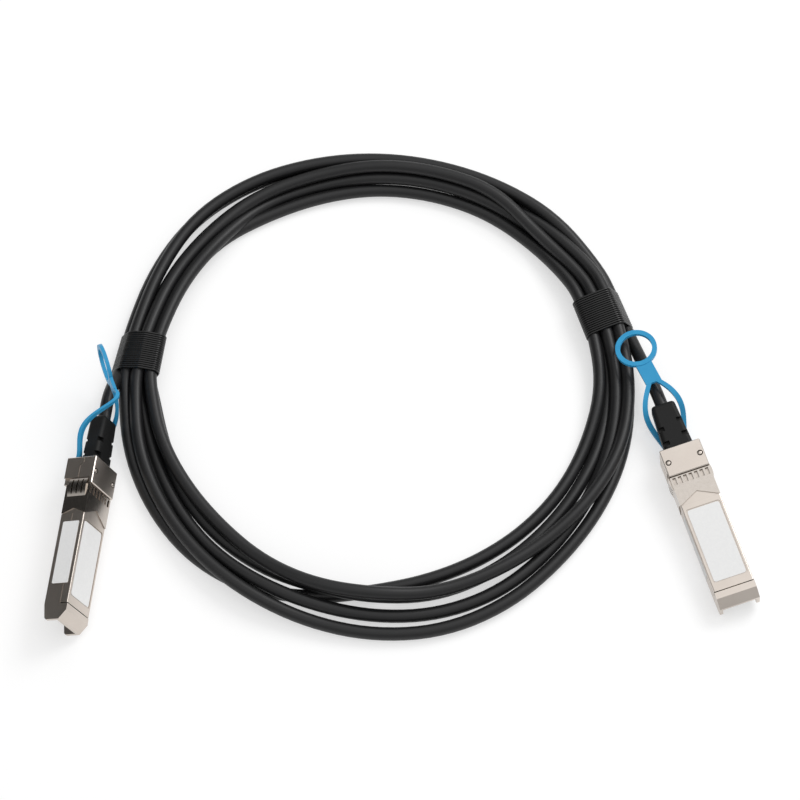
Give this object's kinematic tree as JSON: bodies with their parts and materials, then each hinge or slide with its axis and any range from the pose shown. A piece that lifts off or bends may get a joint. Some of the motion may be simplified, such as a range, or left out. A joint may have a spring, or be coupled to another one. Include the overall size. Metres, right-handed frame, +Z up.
{
  "type": "direct_attach_copper_cable",
  "caption": "Coiled black copper network cable with a nickel-plated plug, slotted boot and blue pull tab at each end, tied twice",
  "frame": {"origin": "On the table under the middle of the box around the two plugs, coil apart", "axes": "+X from the left plug to the right plug, +Y from the plug noses back towards the coil, +Z up from the table"},
  "size_m": [0.2272, 0.1848, 0.025],
  "materials": {
    "nickel_plate": "satin nickel plate on a zinc casting",
    "stainless": "stamped stainless sheet",
    "card_green": "solder mask",
    "gold_plate": "thin gold plate",
    "chip_black": "moulded, matte",
    "core_white": "extruded, smooth",
    "copper_sleeve": "bare copper, crimped",
    "boot_black": "moulded, fine matte",
    "tab_blue": "moulded, satin",
    "label_white": "plain film, unprinted",
    "jacket_black": "extruded jacket, satin",
    "tie_black": "fine cord, wound"
  },
  "bodies": {
    "cable_and_plugs": {"cable_coil": "jacket_black", "left_lead": "jacket_black", "right_lead": "jacket_black", "left_tie": "tie_black", "right_tie": "tie_black", "left_lower_shell": "nickel_plate", "left_upper_shell": "nickel_plate", "left_emi_collar": "stainless", "left_paddle_card": "card_green", "left_card_contacts": "gold_plate", "left_memory_chip": "chip_black", "left_signal_wires": "core_white", "left_crimp_ferrule": "copper_sleeve", "left_strain_relief": "boot_black", "left_latch_pin": "stainless", "left_return_spring": "stainless", "left_cover_rivets": "nickel_plate", "left_product_label": "label_white", "left_side_label": "label_white", "right_lower_shell": "nickel_plate", "right_upper_shell": "nickel_plate", "right_emi_collar": "stainless", "right_paddle_card": "card_green", "right_card_contacts": "gold_plate", "right_memory_chip": "chip_black", "right_signal_wires": "core_white", "right_crimp_ferrule": "copper_sleeve", "right_strain_relief": "boot_black", "right_latch_pin": "stainless", "right_return_spring": "stainless", "right_cover_rivets": "nickel_plate", "right_product_label": "label_white", "right_side_label": "label_white"},
    "left_release": {"left_release_slider": "stainless", "left_pull_tab": "tab_blue"},
    "left_latch_arm": {"left_latch": "stainless"},
    "right_release": {"right_release_slider": "stainless", "right_pull_tab": "tab_blue"},
    "right_latch_arm": {"right_latch": "stainless"}
  },
  "joints": [
    {"name": "left_pull", "type": "slide", "parent": "cable_and_plugs", "child": "left_release", "axis": [0.1167, 0.993, 0.018], "range_m": [0, 0.0025], "stiffness_N_per_m": 200},
    {"name": "left_unlatch", "type": "hinge", "parent": "cable_and_plugs", "child": "left_latch_arm", "pos_m": [-0.1067, -0.0175, 0.00698], "axis": [0.4075, -0.0313, -0.9127], "range_deg": [0, 3.8]},
    {"name": "right_pull", "type": "slide", "parent": "cable_and_plugs", "child": "right_release", "axis": [-0.2955, 0.9547, 0.0342], "range_m": [0, 0.0025], "stiffness_N_per_m": 200},
    {"name": "right_unlatch", "type": "hinge", "parent": "cable_and_plugs", "child": "right_latch_arm", "pos_m": [0.09708, -0.01029, 0.00265], "axis": [0.9488, 0.2892, 0.127], "range_deg": [0, 3.8]}
  ],
  "couplings": [
    {"joint": "left_unlatch", "follows": "left_pull", "rad_per_m": 26.529},
    {"joint": "right_unlatch", "follows": "right_pull", "rad_per_m": 26.529}
  ]
}
